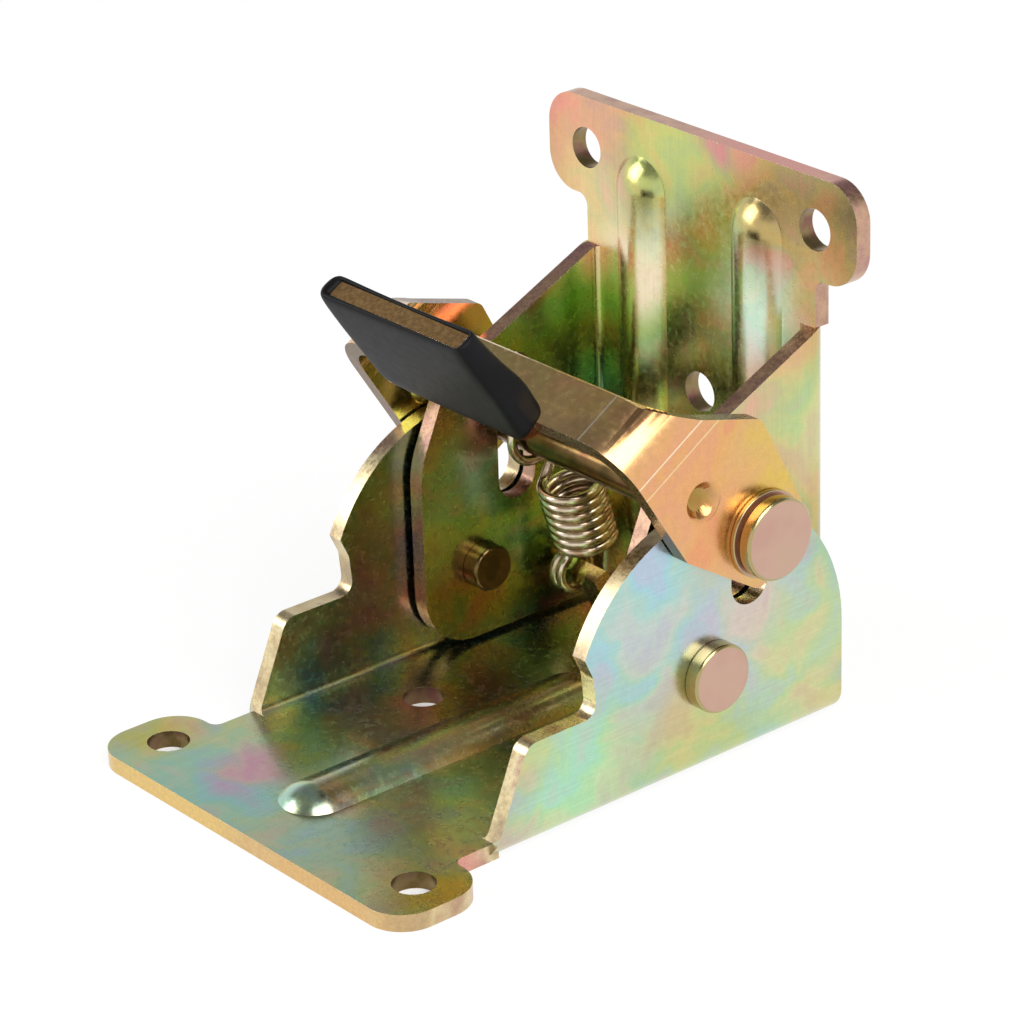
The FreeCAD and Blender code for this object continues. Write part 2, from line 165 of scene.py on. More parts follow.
# Sizes of the patterns in the finishes, in mm, and how far out the pins' shanks turn from a brown painted
# shade to bright
FILM_PATCH = 16.0
DRIFT_PATCH = 11.0
DRIFT = 9.0
PLAY_PATCH = 7.5
ROLL_LINE = 0.3
SPECK = 0.8
EDGE_PATCH = 4.5
TORN_GRAIN = 0.5
CORNER_PATCH = 2.0
BORE_PATCH = 2.5
HEAD_PATCH = 6.0
SHANK_PATCH = 3.0
PIN_GRAIN = 0.3
SHANK_BROWN = 20.0
SHANK_BRIGHT = 23.0
ORANGE_PEEL = 1.1
DUST = 7.0
WIRE_PATCH = 3.0
DRAW_LINE = 0.2
CARD_GRAIN = 2.0

# How far a pattern moves with each unit of its seed, in metres, and the way that the rolling lines run
SEED_STEP = (0.37, 0.11, 0.23)
ROLLED_BACK = (1, 0.03, 1)
ROLLED_UP = (1, 1, 0.03)
ROLLED_ACROSS = (0.03, 1, 1)

# Where a round patch of stain or painted light ends and where it is full, as shares of its reach, the full
# part of a painted crease highlight, and the share that the play of colours has in the film
PATCH_OUTER = 1.35
PATCH_INNER = 0.35
MARK_CORE = 0.3
PLAY_SHARE = 0.3

# Least and most roughness of the rubbed corners, with their painted highlight, and of the hole walls, with
# their painted shade
CORNER_ROUGH = (0.1, 0.22)
BORE_ROUGH = (0.2, 0.4)

# Sockets of the Mix node when it mixes colours
SHARE = 0
FIRST = 6
SECOND = 7
MIXED = 2

# The film's main tints in the order of its thickness
BASE_FILM = [(0.30, "#9DC6BA"), (0.44, "#B6CA9C"), (0.55, "#CACB8E"), (0.70, "#B6AAB4")]
LEG_FILM = [(0.30, "#BCC072"), (0.44, "#CCB87C"), (0.55, "#D0A47E"), (0.70, "#AAB86C")]
LEVER_FILM = [(0.30, "#DAB46E"), (0.44, "#DEBE86"), (0.58, "#E2AE7A"), (0.72, "#D6BA5E")]

# The interference colours that play over them: cool where the film is thin, warm and gold where it is thick
COOL_PLAY = [(0.32, "#E9A59C"), (0.42, "#EFD39C"), (0.50, "#B6DA9E"), (0.58, "#9CD2DA"), (0.68, "#CDAAD6")]
WARM_PLAY = [(0.32, "#EA8E88"), (0.42, "#E8BC74"), (0.50, "#B6CC70"), (0.58, "#86BC8A"), (0.68, "#D894A0")]
GOLD_PLAY = [(0.32, "#EA9674"), (0.44, "#E6BE74"), (0.54, "#E0B08C"), (0.66, "#E8C266"), (0.74, "#DE8E7C")]

# The film on the sheared edges, the darker colour in the punched holes as painted shade, and the pale colour
# of the rubbed corners, worn and partly a painted highlight
BASE_EDGE_FILM = [(0.34, "#B8A484"), (0.45, "#D2BE94"), (0.55, "#DECEA4"), (0.68, "#BC9A84")]
LEG_EDGE_FILM = [(0.34, "#B48C7C"), (0.50, "#CCA68A"), (0.68, "#BC8E8A")]
LEVER_EDGE_FILM = [(0.34, "#6A5436"), (0.50, "#7C6242"), (0.68, "#765848")]
CORNER_HIGHLIGHT_FILM = [(0.35, "#E4D8BE"), (0.5, "#F6F0E2"), (0.65, "#DACBB0")]
BORE_SHADE_FILM = [(0.35, "#7A6640"), (0.5, "#94805A"), (0.65, "#8A6258")]

# The pins' heads, the brown painted shade on their shanks, their rims, the spring's wire, the sleeve and the
# studio's card
HEAD_FILM = [(0.30, "#CBA393"), (0.50, "#CFAC99"), (0.70, "#CBAE96")]
SHANK_SHADE_FILM = [(0.35, "#5C4A2C"), (0.50, "#78603C"), (0.65, "#6A4A34")]
RIM_COLOUR = "#B4A474"
WIRE_FILM = [(0.35, "#C2A98C"), (0.50, "#E2D3BC"), (0.65, "#B8987A")]
VINYL = [(0.35, "#08080A"), (0.65, "#0F0F12")]
CARD = [(0.3, "#F8F8F7"), (0.7, "#FCFCFC")]

# Larger patches of stain that the dip left, and painted highlights and painted shade: the middle in mm, the
# reach in mm and the colour
RIGHT_CHEEK_STAINS = (
    ((BASE_OUT, 38, 24), 14, "#B2D6DE"),
    ((BASE_OUT, 54, 16), 10, "#CFC9CC"),
    ((BASE_OUT, 62, 11), 9, "#CBD6A4"),
    ((BASE_OUT, 47, 2), 8, "#C4C886"),
    ((BASE_OUT, 28, 6), 8, "#B6E6B8"),
)
FLOOR_STAINS = (
    ((-10, 4, GAUGE), 12, "#9ECDC2"),
    ((-11, 9, GAUGE), 5, "#CDA6BE"),
    ((9, 5, GAUGE), 9, "#AFC6B6"),
    ((-25, 5, GAUGE), 6, "#CDBB4A"),
    ((27, 8, GAUGE), 7, "#C2B84E"),
    ((-5, 22, GAUGE), 9, "#B2D0A8"),
    ((0, 36, GAUGE), 14, "#B4987E"),
)
LEFT_CHEEK_STAINS_AND_LIGHT = (
    # Painted highlight: a pale yellow-white patch on the inner bend at the cheek's foot
    ((-BASE_IN, 19, 4), 3.5, "#F2FFC4"),
    ((-BASE_IN, 24.5, 5), 5, "#5E8CA0"),
    ((-BASE_IN, 28, 14), 9, "#9CCFA8"),
    ((-BASE_IN, 42, 12), 9, "#B8908A"),
    # The next two are lilac and purple film colour made darker as painted shade inside the cheek
    ((-BASE_IN, 31, 7), 7, "#5A5480"),
    ((-BASE_IN, 36, 15), 7, "#7E6488"),
    ((-BASE_IN, 37, 28), 8, "#90A884"),
)
LEG_PLATE_STAINS_AND_HIGHLIGHTS = (
    ((-18, PLATE_FACE, 61), 8, "#F2A296"),
    ((-17, PLATE_FACE, 50), 8, "#F0D0A0"),
    ((-2, PLATE_FACE, 60), 9, "#D6D484"),
    ((14, PLATE_FACE, 59), 8, "#CC9A6C"),
    ((4, PLATE_FACE, 64), 5, "#E09C90"),
    ((24, PLATE_FACE, 57), 6, "#B27C58"),
    ((0, PLATE_FACE, 47), 12, "#B4C486"),
    ((-10, PLATE_FACE, 38), 9, "#A0B46C"),
    # The next two are painted highlights: pale patches on the tops of the two beads
    ((-9.4, 65, 46), 7, "#FFF8DC"),
    ((9.4, 65, 46), 7, "#E8FCEC"),
)
LEG_CHEEK_STAINS_AND_SHADE = (
    ((-LEG_IN, 58, 36), 10, "#A4CC5C"),
    ((-LEG_IN, 64, 28), 7, "#7A9C78"),
    ((-18, 57, 46), 5, "#E29458"),
    ((-LEG_IN, 46, 22), 8, "#A4D4B4"),
    ((-LEG_IN, 50, 30), 6, "#D09A88"),
    ((-LEG_IN, 54, 13), 8, "#8CC880"),
    # Film colour made darker as painted shade low inside the cheek
    ((-LEG_IN, 56, 3), 6, "#4A5040"),
    ((-LEG_IN, 43.5, 13.5), 5, "#86BC84"),
    # Film colour made darker as painted shade low inside the cheek
    ((-LEG_IN, 46, 6), 7, "#6E663C"),
    ((LEG_OUT, 57, 40), 8, "#E6C294"),
    ((LEG_OUT, PLATE_FACE, 34), 8, "#C9DDA4"),
)
LEVER_STAINS_AND_SHADE = (
    ((24, 43, 38), 9, "#EDA878"),
    ((24, 56, 35), 8, "#E2C464"),
    ((24, 48, 29), 7, "#F0AC78"),
    ((-24, 50, 34), 10, "#A39A38"),
    ((-24, 39, 35), 7, "#A4BE5C"),
    ((-24, 52, 40.5), 6, "#E8745C"),
    ((0, 36, 44), 11, "#C4B47C"),
    # Painted shade: a darker brown patch at the inside of the right bend, under the bridge
    ((17, 37, 41), 4, "#A88C64"),
)
BASE_EDGE_STAINS = (
    ((-12, 0, 1), 17, "#E6C47C"),
    ((14, 0, 1), 14, "#E0B87C"),
    ((23, 13, 1), 4, "#E09A90"),
)
LEG_EDGE_STAINS = (((10, 68, 63), 12, "#D49488"),)
TONGUE_TIP_STAINS = (((0, 25, 54), 16, "#C09865"),)

# Painted shade in the ear's dimple: a darker gold, with its reach in mm
DIMPLE_SHADE_REACH = 2.2
DIMPLE_SHADE = "#8C7428"

# Creases that the bending tools left on the lever, painted as bright highlight lines: direction, place in mm
# from the lock pin, half the width in mm and colour
BEND_CREASE_HIGHLIGHTS = (
    (ACROSS, 17.9, 0.16, "#FFF4DC"),
    (ACROSS, -17.9, 0.16, "#FFF4DC"),
    (LEVER_UP, 18.0, 0.14, "#FFE8C8"),
    (LEVER_UP, 16.2, 0.12, "#F6DCA8"),
)

# The card: its side in metres, how much of it is glow, and how far past a screw hole it has none, in mm
FLOOR_SIDE = 4.0
CARD_GLOW = 0.88
HOLE_SHADE = 0.4

# The room that the metal shows, from the horizon up, and the lamps in metres and watts
ROOM = [(0.0, "#FFFFFF"), (0.40, "#FAFAFA"), (0.58, "#8A8A88"), (1.0, "#7C7C7C")]
LIT_POINT = Vector((0, 0, 0.03))
KEY_PLACE = Vector((-0.48, -0.54, 0.43))
KEY_SIDE = 0.46
KEY_POWER = 2.8
TOP_RIGHT_PLACE = Vector((0.45, -0.08, 0.54))
TOP_RIGHT_SIDE = 0.52
TOP_RIGHT_POWER = 4.0

# Camera: its place in mm with Y from the front edge, its angles in radians, its sensor in mm, its lens in
# pixels of the photograph, and in metres how near and how far it sees
CAMERA_X = 314.123
CAMERA_Y = -219.256
CAMERA_Z = 212.831
CAMERA_YAW = -0.882474
CAMERA_PITCH = -0.429269
CAMERA_ROLL = 0.033304
SENSOR_WIDTH = 36.0
FOCAL_PIXELS = 4101.4007
IMAGE_PIXELS = 1024.0
NEAREST = 0.01
FARTHEST = 20.0


def linear(code):
    """An sRGB hex colour as Blender's linear RGBA."""
    values = [int(code[i:i + 2], 16) / 255.0 for i in (1, 3, 5)]
    return [v / 12.92 if v <= 0.04045 else ((v + 0.055) / 1.055) ** 2.4 for v in values] + [1.0]


def at(x, y, z):
    """A point in mm, with y from the front edge, as metres in the row frame."""
    return Vector((x, y + FRONT_EDGE, z)) * MM


def on_lever(x, t, n):
    """A point of the lever's own frame as metres in the row frame."""
    c = math.cos(LEVER_TILT)
    s = math.sin(LEVER_TILT)
    return at(x, LOCK.y + t * c - n * s, LOCK.z + t * s + n * c)


def add(tree, kind, inputs=None, stops=None, **settings):
    """Adds one node with its settings, colour stops and links, and returns it."""
    made = tree.nodes.new(kind)
    for name, value in settings.items():
        setattr(made, name, value)
    for i, (position, code) in enumerate(stops or []):
        ends = made.color_ramp.elements
        stop = ends[i] if i < 2 else ends.new(position)
        stop.position = position
        stop.color = linear(code)
    for socket, value in (inputs or {}).items():
        if isinstance(value, bpy.types.NodeSocket):
            tree.links.new(value, made.inputs[socket])
        else:
            made.inputs[socket].default_value = value
    return made


def start_material(name):
    """An empty material, its node tree, and the coordinates of the row frame in metres."""
    material = bpy.data.materials.new(name)
    material.use_nodes = True
    tree = material.node_tree
    tree.nodes.clear()
    place = add(tree, "ShaderNodeTexCoord").outputs["Object"]
    return material, tree, place


def finish_metal(tree, colour, rough, bump=None):
    """Ends a metal's node tree with its colour, its roughness and, where it has one, its relief."""
    inputs = {"Base Color": colour, "Metallic": 1.0, "Roughness": rough}
    if bump:
        inputs["Normal"] = bump
    shader = add(tree, "ShaderNodeBsdfPrincipled", inputs)
    add(tree, "ShaderNodeOutputMaterial", {"Surface": shader.outputs[0]})


def cloud(tree, place, size_mm, seed, detail=3.0, roughness=0.5, distortion=0.0, stretch=(1, 1, 1)):
    """Soft random patches of about size_mm across."""
    moved = add(tree, "ShaderNodeMapping", {
        "Vector": place, "Location": [seed * step for step in SEED_STEP], "Scale": stretch})
    return add(tree, "ShaderNodeTexNoise", {
        "Vector": moved.outputs[0], "Scale": 1.0 / (size_mm * MM), "Detail": detail,
        "Roughness": roughness, "Distortion": distortion}).outputs["Fac"]


def drifting(tree, place):
    """The place moved a little at random, so that each round patch gets a wandering outline."""
    drift = add(tree, "ShaderNodeTexNoise", {
        "Vector": place, "Scale": 1.0 / (DRIFT_PATCH * MM), "Detail": 2.0}).outputs["Color"]
    drift = add(tree, "ShaderNodeVectorMath", {0: drift, 1: (0.5, 0.5, 0.5)},
                operation="SUBTRACT").outputs[0]
    drift = add(tree, "ShaderNodeVectorMath", {0: drift, 1: (DRIFT * MM, DRIFT * MM, DRIFT * MM)},
                operation="MULTIPLY").outputs[0]
    return add(tree, "ShaderNodeVectorMath", {0: place, 1: drift}, operation="ADD").outputs[0]


def stains_and_painted_light(tree, place, colour, patches):
    """The colour with soft round patches over it, each with its middle and reach in mm: stain from the dip,
    and in some lists painted highlights and painted shade.
    """
    for middle, reach, code in patches:
        away = add(tree, "ShaderNodeVectorMath", {0: place, 1: tuple(at(*middle))},
                   operation="DISTANCE").outputs["Value"]
        share = add(tree, "ShaderNodeMapRange", {
            "Value": away, "From Min": PATCH_OUTER * reach * MM, "From Max": PATCH_INNER * reach * MM},
            interpolation_type="SMOOTHSTEP").outputs[0]
        colour = add(tree, "ShaderNodeMix", {SHARE: share, FIRST: colour, SECOND: linear(code)},
                     data_type="RGBA").outputs[MIXED]
    return colour


def with_highlight_lines(tree, place, colour, highlight_lines):
    """The colour with thin straight painted highlight lines over it, each with its direction, place, half
    width and colour.
    """
    for way, level, half, code in highlight_lines:
        along = add(tree, "ShaderNodeVectorMath", {0: place, 1: tuple(way)},
                    operation="DOT_PRODUCT").outputs["Value"]
        away = add(tree, "ShaderNodeMath", {0: along, 1: at(*LOCK).dot(way) + level * MM},
                   operation="SUBTRACT").outputs[0]
        away = add(tree, "ShaderNodeMath", {0: away}, operation="ABSOLUTE").outputs[0]
        share = add(tree, "ShaderNodeMapRange", {
            "Value": away, "From Min": half * MM, "From Max": MARK_CORE * half * MM}).outputs[0]
        colour = add(tree, "ShaderNodeMix", {SHARE: share, FIRST: colour, SECOND: linear(code)},
                     data_type="RGBA").outputs[MIXED]
    return colour


def passivated_sheet(name, film, play_stops, patches, seed, roll, highlight_lines=(), shade_spots=()):
    """Cold-rolled steel, zinc plated and passivated yellow. The chromate film differs in thickness, so it
    gives large soft patches of gold, green, blue and pink over bright metal, with a fine speckle."""
    material, tree, place = start_material(name)
    thickness = cloud(tree, place, FILM_PATCH, seed, detail=2.0, distortion=0.4)
    colour = add(tree, "ShaderNodeValToRGB", {"Fac": thickness}, stops=film).outputs["Color"]
    # Round patches over the film: stain from the dip, and on some pieces painted highlights and painted
    # shade
    colour = stains_and_painted_light(tree, drifting(tree, place), colour, patches)
    # Painted shade in the ear's dimple
    colour = stains_and_painted_light(tree, place, colour, shade_spots)
    play = cloud(tree, place, PLAY_PATCH, seed + 3.0, detail=3.0, distortion=0.5)
    play = add(tree, "ShaderNodeValToRGB", {"Fac": play}, stops=play_stops).outputs["Color"]
    colour = add(tree, "ShaderNodeMix", {SHARE: PLAY_SHARE, FIRST: colour, SECOND: play},
                 data_type="RGBA").outputs[MIXED]
    # Bright highlight lines painted along the creases of the bends
    colour = with_highlight_lines(tree, place, colour, highlight_lines)
    # The rolling lines are coarser than the real ones, so that they show.
    lines = cloud(tree, place, ROLL_LINE, seed + 9.0, detail=2.0, stretch=roll)
    speck = cloud(tree, place, SPECK, seed + 13.0, detail=2.0)
    grain = add(tree, "ShaderNodeMath", {0: lines, 1: speck}, operation="ADD").outputs[0]
    tone = add(tree, "ShaderNodeMapRange", {
        "Value": grain, "From Min": 0.7, "From Max": 1.3, "To Min": 0.94, "To Max": 1.04}).outputs[0]
    colour = add(tree, "ShaderNodeMix", {SHARE: 1.0, FIRST: colour, SECOND: tone},
                 data_type="RGBA", blend_type="MULTIPLY").outputs[MIXED]
    rough = add(tree, "ShaderNodeMapRange", {
        "Value": speck, "From Min": 0.3, "From Max": 0.7, "To Min": 0.18, "To Max": 0.3}).outputs[0]
    bump = add(tree, "ShaderNodeBump", {
        "Height": grain, "Strength": 0.02, "Distance": 0.02 * MM}).outputs[0]
    finish_metal(tree, colour, rough, bump)
    return material


def sheared_edge(name, film, patches):
    """The sheet's cut edge, plated after blanking: a brown-gold torn band that sparkles a little."""
    material, tree, place = start_material(name)
    thickness = cloud(tree, place, EDGE_PATCH, seed=3.0, detail=2.0)
    colour = add(tree, "ShaderNodeValToRGB", {"Fac": thickness}, stops=film).outputs["Color"]
    colour = stains_and_painted_light(tree, place, colour, patches)
    torn = cloud(tree, place, TORN_GRAIN, seed=7.0, detail=3.0, roughness=0.6)
    tone = add(tree, "ShaderNodeMapRange", {
        "Value": torn, "From Min": 0.35, "From Max": 0.65, "To Min": 0.9, "To Max": 1.05}).outputs[0]
    colour = add(tree, "ShaderNodeMix", {SHARE: 1.0, FIRST: colour, SECOND: tone},
                 data_type="RGBA", blend_type="MULTIPLY").outputs[MIXED]
    rough = add(tree, "ShaderNodeMapRange", {
        "Value": torn, "From Min": 0.3, "From Max": 0.7, "To Min": 0.2, "To Max": 0.34}).outputs[0]
    bump = add(tree, "ShaderNodeBump", {"Height": torn, "Strength": 0.1, "Distance": 0.04 * MM}).outputs[0]
    finish_metal(tree, colour, rough, bump)
    return material


def metal_with_painted_light(name, film, size_mm, least_rough, most_rough):
    """Plated steel where the film is thin or worn: a smooth sheen whose gloss changes a little. On the
    corners its pale colour is also a painted highlight; in the hole walls its dark colour is painted shade.
    """
    material, tree, place = start_material(name)
    mottle = cloud(tree, place, size_mm, seed=51.0, detail=3.0)
    colour = add(tree, "ShaderNodeValToRGB", {"Fac": mottle}, stops=film).outputs["Color"]
    rough = add(tree, "ShaderNodeMapRange", {
        "Value": mottle, "To Min": least_rough, "To Max": most_rough}).outputs[0]
    finish_metal(tree, colour, rough)
    return material


def turned_pin():
    """Cold-headed steel, plated and passivated: the flat heads carry an even dusty pink film, the rims are
    rubbed bright, and between the cheeks the shanks are painted brown as shade."""
    material, tree, place = start_material("cold-headed plated steel")
    thickness = cloud(tree, place, HEAD_PATCH, seed=11.0, detail=2.0)
    head = add(tree, "ShaderNodeValToRGB", {"Fac": thickness}, stops=HEAD_FILM).outputs["Color"]
    normal = add(tree, "ShaderNodeTexCoord").outputs["Normal"]
    facing = add(tree, "ShaderNodeSeparateXYZ", {0: normal}).outputs[0]
    facing = add(tree, "ShaderNodeMath", {0: facing}, operation="ABSOLUTE").outputs[0]
    flat = add(tree, "ShaderNodeMapRange", {
        "Value": facing, "From Min": 0.85, "From Max": 0.98}).outputs[0]
    colour = add(tree, "ShaderNodeMix", {SHARE: flat, FIRST: linear(RIM_COLOUR), SECOND: head},
                 data_type="RGBA").outputs[MIXED]
    # Painted shade: the shanks turn brown between the cheeks, where the hinge closes round them
    out = add(tree, "ShaderNodeSeparateXYZ", {0: place}).outputs[0]
    out = add(tree, "ShaderNodeMath", {0: out}, operation="ABSOLUTE").outputs[0]
    out = add(tree, "ShaderNodeMapRange", {
        "Value": out, "From Min": SHANK_BROWN * MM, "From Max": SHANK_BRIGHT * MM}).outputs[0]
    brown = cloud(tree, place, SHANK_PATCH, seed=19.0, detail=3.0)
    brown = add(tree, "ShaderNodeValToRGB", {"Fac": brown}, stops=SHANK_SHADE_FILM).outputs["Color"]
    colour = add(tree, "ShaderNodeMix", {SHARE: out, FIRST: brown, SECOND: colour},
                 data_type="RGBA").outputs[MIXED]
    rough = add(tree, "ShaderNodeMapRange", {"Value": flat, "To Min": 0.2, "To Max": 0.42}).outputs[0]
    grain = cloud(tree, place, PIN_GRAIN, seed=17.0, detail=4.0)
    bump = add(tree, "ShaderNodeBump", {
        "Height": grain, "Strength": 0.15, "Distance": 0.04 * MM}).outputs[0]
    finish_metal(tree, colour, rough, bump)
    return material


def dipped_vinyl():
    """Soft PVC, dipped and cured: near black, satin, with a faint orange peel that breaks up its sheen."""
    material, tree, place = start_material("dipped soft PVC")
    peel = cloud(tree, place, ORANGE_PEEL, seed=21.0, detail=3.0)
    dust = cloud(tree, place, DUST, seed=23.0, detail=2.0)
    colour = add(tree, "ShaderNodeValToRGB", {"Fac": dust}, stops=VINYL).outputs["Color"]
    rough = add(tree, "ShaderNodeMapRange", {"Value": peel, "To Min": 0.42, "To Max": 0.54}).outputs[0]
    bump = add(tree, "ShaderNodeBump", {"Height": peel, "Strength": 0.12, "Distance": 0.1 * MM}).outputs[0]
    shader = add(tree, "ShaderNodeBsdfPrincipled", {
        "Base Color": colour, "Metallic": 0.0, "Roughness": rough, "Normal": bump, "IOR": 1.46,
        "Specular IOR Level": 0.16})
    add(tree, "ShaderNodeOutputMaterial", {"Surface": shader.outputs[0]})
    return material


def drawn_wire():
    """Hard-drawn spring steel, plated: bright and a little brown, with a fine drawn grain."""
    material, tree, place = start_material("drawn plated spring wire")
    thickness = cloud(tree, place, WIRE_PATCH, seed=31.0, detail=2.0)
    colour = add(tree, "ShaderNodeValToRGB", {"Fac": thickness}, stops=WIRE_FILM).outputs["Color"]
    grain = cloud(tree, place, DRAW_LINE, seed=37.0, detail=3.0)
    rough = add(tree, "ShaderNodeMapRange", {"Value": grain, "To Min": 0.16, "To Max": 0.3}).outputs[0]
    bump = add(tree, "ShaderNodeBump", {"Height": grain, "Strength": 0.1, "Distance": 0.03 * MM}).outputs[0]
    finish_metal(tree, colour, rough, bump)
    return material


def near_any(point, middles, reach):
    """Whether the point lies within the reach of one of the middles, in mm."""
    return any(math.hypot(point[0] - u, point[1] - v) < reach for u, v in middles)


def mark_cuts(piece, holes, dimples, axis):
    """Gives the cut slot to the faces with more than a gauge of metal behind them, and the bore slot to the
    walls of the screw holes. The middles of the holes and of the pressed dimples are in mm, seen along the
    given axis, and the dimples keep the film."""
    mesh = piece.data
    tree = BVHTree.FromPolygons([v.co for v in mesh.vertices], [p.vertices for p in mesh.polygons])
    for face in mesh.polygons:
        inward = -face.normal
        hit = tree.ray_cast(face.center + inward * (SKIN_DEPTH * MM), inward)
        if hit[0] is None or hit[3] <= CUT_DEPTH * GAUGE * MM:
            continue
        flat = [face.center[i] / MM for i in range(3) if i != axis]
        if near_any(flat, dimples, DIMPLE_R + DIMPLE_MARGIN):
            continue
        drilled = near_any(flat, holes, SCREW_R + HOLE_MARGIN)
        face.material_index = BORE_SLOT if drilled else CUT_SLOT


def round_edges(piece, width_mm, slot, angle):
    """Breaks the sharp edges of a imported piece, as tumbling and plating do."""
    weld = piece.modifiers.new("weld", "WELD")
    weld.merge_threshold = WELD_REACH
    flat = piece.modifiers.new("flat", "DECIMATE")
    flat.decimate_type = "DISSOLVE"
    flat.angle_limit = math.radians(FLAT_ANGLE)
    flat.delimit = {"MATERIAL"}
    bevel = piece.modifiers.new("bevel", "BEVEL")
    bevel.width = width_mm * MM
    bevel.segments = ROUND_STEPS
    bevel.limit_method = "ANGLE"
    bevel.angle_limit = math.radians(angle)
    bevel.use_clamp_overlap = True
    bevel.material = slot
    bevel.miter_outer = "MITER_ARC"
    even = piece.modifiers.new("even", "WEIGHTED_NORMAL")
    even.keep_sharp = False
    even.weight = FACE_WEIGHT
    for face in piece.data.polygons:
        face.use_smooth = True


def finish_sheet(name, materials, holes=(), dimples=(), axis=0, angle=FOLD_ANGLE):
    """A packed sheet piece with its film, its cut edges, its rubbed corners with their painted highlight and
    its hole walls with their painted shade.
    """
    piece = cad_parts[name]
    piece.data.materials.clear()
    for material in materials:
        piece.data.materials.append(material)
    mark_cuts(piece, holes, dimples, axis)
    round_edges(piece, SHEET_ROUND, CORNER_SLOT, angle)


def both_sides(x, other):
    """Two mirrored places, right and left."""
    return [(x, other), (-x, other)]


def tab_and_floor_holes():
    """The base bracket's screw holes in mm, seen along Z."""
    tab_holes = both_sides(TAB_HOLE_X, TAB_HOLE_Y + FRONT_EDGE)
    floor_holes = both_sides(FLOOR_HOLE_X, FLOOR_HOLE_Y + FRONT_EDGE)
    return tab_holes + floor_holes


def plated_base(corner, bore):
    """The base bracket: cool blue and green film on its cheek and floor, gold on its front edge."""
    patches = RIGHT_CHEEK_STAINS + FLOOR_STAINS + LEFT_CHEEK_STAINS_AND_LIGHT
    sheet = passivated_sheet("passivated base sheet", BASE_FILM, COOL_PLAY, patches, seed=1.0,
                             roll=ROLLED_BACK)
    edge = sheared_edge("sheared base edge", BASE_EDGE_FILM, BASE_EDGE_STAINS)
    finish_sheet("base_bracket", [sheet, edge, corner, bore], holes=tab_and_floor_holes(), axis=2)


def plated_leg(corner, bore):
    """The leg bracket: gold and pink film on its plate, green inside its cheeks."""
    patches = LEG_PLATE_STAINS_AND_HIGHLIGHTS + LEG_CHEEK_STAINS_AND_SHADE
    sheet = passivated_sheet("passivated leg sheet", LEG_FILM, WARM_PLAY, patches, seed=2.0,
                             roll=ROLLED_UP)
    edge = sheared_edge("sheared leg edge", LEG_EDGE_FILM, LEG_EDGE_STAINS)
    holes = both_sides(EAR_HOLE_X, EAR_HOLE_Z) + [(0.0, LOW_HOLE_Z)]
    finish_sheet("leg_bracket", [sheet, edge, corner, bore], holes=holes, axis=1)


def plated_lever(corner):
    """The lever: orange-gold film, bright painted highlight lines on the creases of its bends, and painted
    shade in the ear's dimple.
    """
    dimple = on_lever(DIMPLE_X, DIMPLE_T, DIMPLE_N) / MM
    dimple_shade = (tuple(dimple - Vector((0, FRONT_EDGE, 0))), DIMPLE_SHADE_REACH, DIMPLE_SHADE)
    sheet = passivated_sheet("passivated lever sheet", LEVER_FILM, GOLD_PLAY, LEVER_STAINS_AND_SHADE, seed=3.0,
                             roll=ROLLED_ACROSS, highlight_lines=BEND_CREASE_HIGHLIGHTS, shade_spots=(dimple_shade,))
    edge = sheared_edge("sheared lever edge", LEVER_EDGE_FILM, TONGUE_TIP_STAINS)
    finish_sheet("lock_lever", [sheet, edge, corner], dimples=[tuple(dimple)[1:]], angle=LEVER_FOLD_ANGLE)


def bright_pins():
    """The two pivot rivets and the lock pin."""
    steel = turned_pin()
    for name in ("pivot_rivet_right", "pivot_rivet_left", "lock_pin"):
        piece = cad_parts[name]
        piece.data.materials.clear()
        piece.data.materials.append(steel)
        round_edges(piece, PIN_ROUND, OWN_SLOT, FOLD_ANGLE)


def winding(centre, radius, along, across, rise, turns):
    """Points round a centre from along towards across, moved on by the rise with each turn."""
    points = []
    for i in range(1, int(turns * TURN_STEPS)):
        turn = 2.0 * math.pi * i / TURN_STEPS
        spoke = along * math.cos(turn) + across * math.sin(turn)
        points.append(centre + spoke * radius + rise * (i / TURN_STEPS))
    return points


def spring_path():
    """The spring's centre line in mm, from the low eye on the horn over the close coil to the top eye on
    the lock pin, and the two ends of the stretch that gives."""
    low = HORN + Vector((0, -math.cos(HORN_LEAN), math.sin(HORN_LEAN))) * EYE_GAP
    high = Vector((HORN.x, LOCK.y, LOCK.z - EYE_GAP / 2))
    axis = (high - low).normalized()
    across = axis.cross(ACROSS)
    length = COIL_TURNS * COIL_PITCH
    spare = (high - low).length - LOW_EYE_R - TOP_EYE_R - length
    foot = low + axis * (LOW_EYE_R + spare * COIL_PLACE)
    sideways = -ACROSS * COIL_PITCH
    low_eye = winding(low, LOW_EYE_R, axis, -across, sideways, EYE_TURNS)
    coil = winding(foot + ACROSS * COIL_R, COIL_R, -ACROSS, across, axis * COIL_PITCH, COIL_TURNS)
    top_eye = winding(high, TOP_EYE_R, -axis, across, sideways, EYE_TURNS)
    lower_run = (low_eye[0] + coil[0]) / 2
    upper_run = (coil[-1] + top_eye[0]) / 2
    path = low_eye[::-1] + [lower_run] + coil + [upper_run] + top_eye
    return path, low + axis * (LOW_EYE_R + WIRE_R), high - axis * (TOP_EYE_R + WIRE_R)


def smoothed(points, steps):
    """More points on a smooth curve that passes through every given one."""
    found = []
    for i in range(len(points) - 1):
        a, b, c, d = (points[max(0, min(len(points) - 1, i + k))] for k in (-1, 0, 1, 2))
        for j in range(steps):
            t = j / steps
            found.append(0.5 * (2 * b + (c - a) * t + (2 * a - 5 * b + 4 * c - d) * t * t
                                + (3 * b - a - 3 * c + d) * t ** 3))
    return found + [points[-1]]


